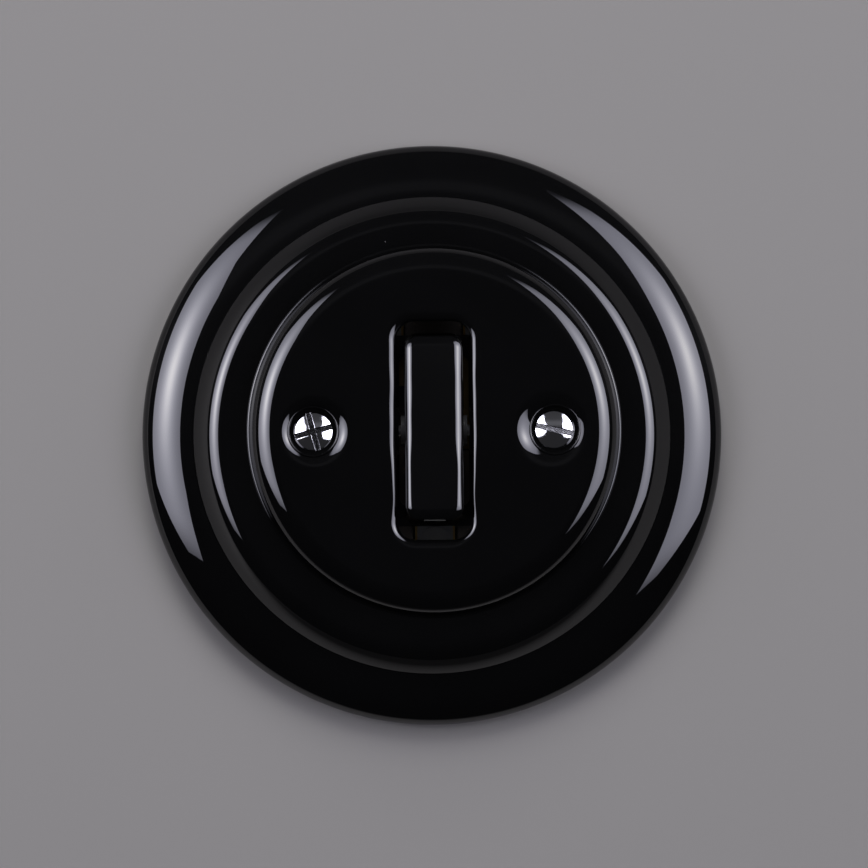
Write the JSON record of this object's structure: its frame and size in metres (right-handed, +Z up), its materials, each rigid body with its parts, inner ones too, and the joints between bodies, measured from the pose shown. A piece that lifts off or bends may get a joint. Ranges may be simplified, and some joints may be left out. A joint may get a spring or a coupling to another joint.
{
  "type": "rocker light switch",
  "caption": "Round flush light switch in black glazed ceramic: stepped frame, round cover with dished screw seats, narrow rocker key and a changeover mechanism on a steel plate.",
  "frame": {"origin": "centre of the box-screw pattern, on the wall plane under the support plate", "axes": "+Z up, +X to the right seen from the front, -Y out of the wall towards the user, +Y into the wall box"},
  "size_m": [0.1, 0.0349, 0.1],
  "materials": {
    "black_glaze": "gloss",
    "chrome": "polished",
    "black_zinc": "satin",
    "zinc_steel": "satin",
    "pin_steel": "satin",
    "brass": "satin",
    "silver": "satin",
    "base_moulding": "matte",
    "black_moulding": "satin"
  },
  "bodies": {
    "housing": {"frame_ring": "black_glaze", "cover_plate": "black_glaze", "cover_screw_left": "chrome", "cover_screw_right": "chrome", "support_plate": "black_zinc", "cover_standoffs": "brass", "pivot_pin": "pin_steel", "switch_base": "base_moulding", "base_screws": "zinc_steel", "common_strip": "brass", "upper_way_strip": "brass", "lower_way_strip": "brass", "fixed_contacts": "silver", "terminal_screws": "zinc_steel", "clamp_washers": "zinc_steel"},
    "rocker": {"rocker_key": "black_glaze", "key_cradle": "black_moulding", "toggle_spring": "pin_steel"},
    "plunger": {"plunger": "black_moulding"},
    "lever": {"contact_lever": "brass", "lever_contacts": "silver"}
  },
  "joints": [
    {"name": "rocker_tilt", "type": "hinge", "parent": "housing", "child": "rocker", "pos_m": [0, -0.0095, 0], "axis": [1, 0, 0], "range_deg": [0, 9]},
    {"name": "lever_tilt", "type": "hinge", "parent": "housing", "child": "lever", "pos_m": [0, 0.0085, 0], "axis": [1, 0, 0], "range_deg": [-13.5, 0]},
    {"name": "plunger_slide", "type": "slide", "parent": "rocker", "child": "plunger", "axis": [0, -0.9969, 0.0785], "range_m": [0, 0.0006], "stiffness_N_per_m": 600, "deforming": ["toggle_spring"]}
  ],
  "couplings": [
    {"joint": "lever_tilt", "follows": "rocker_tilt", "ratio": -1.5}
  ]
}
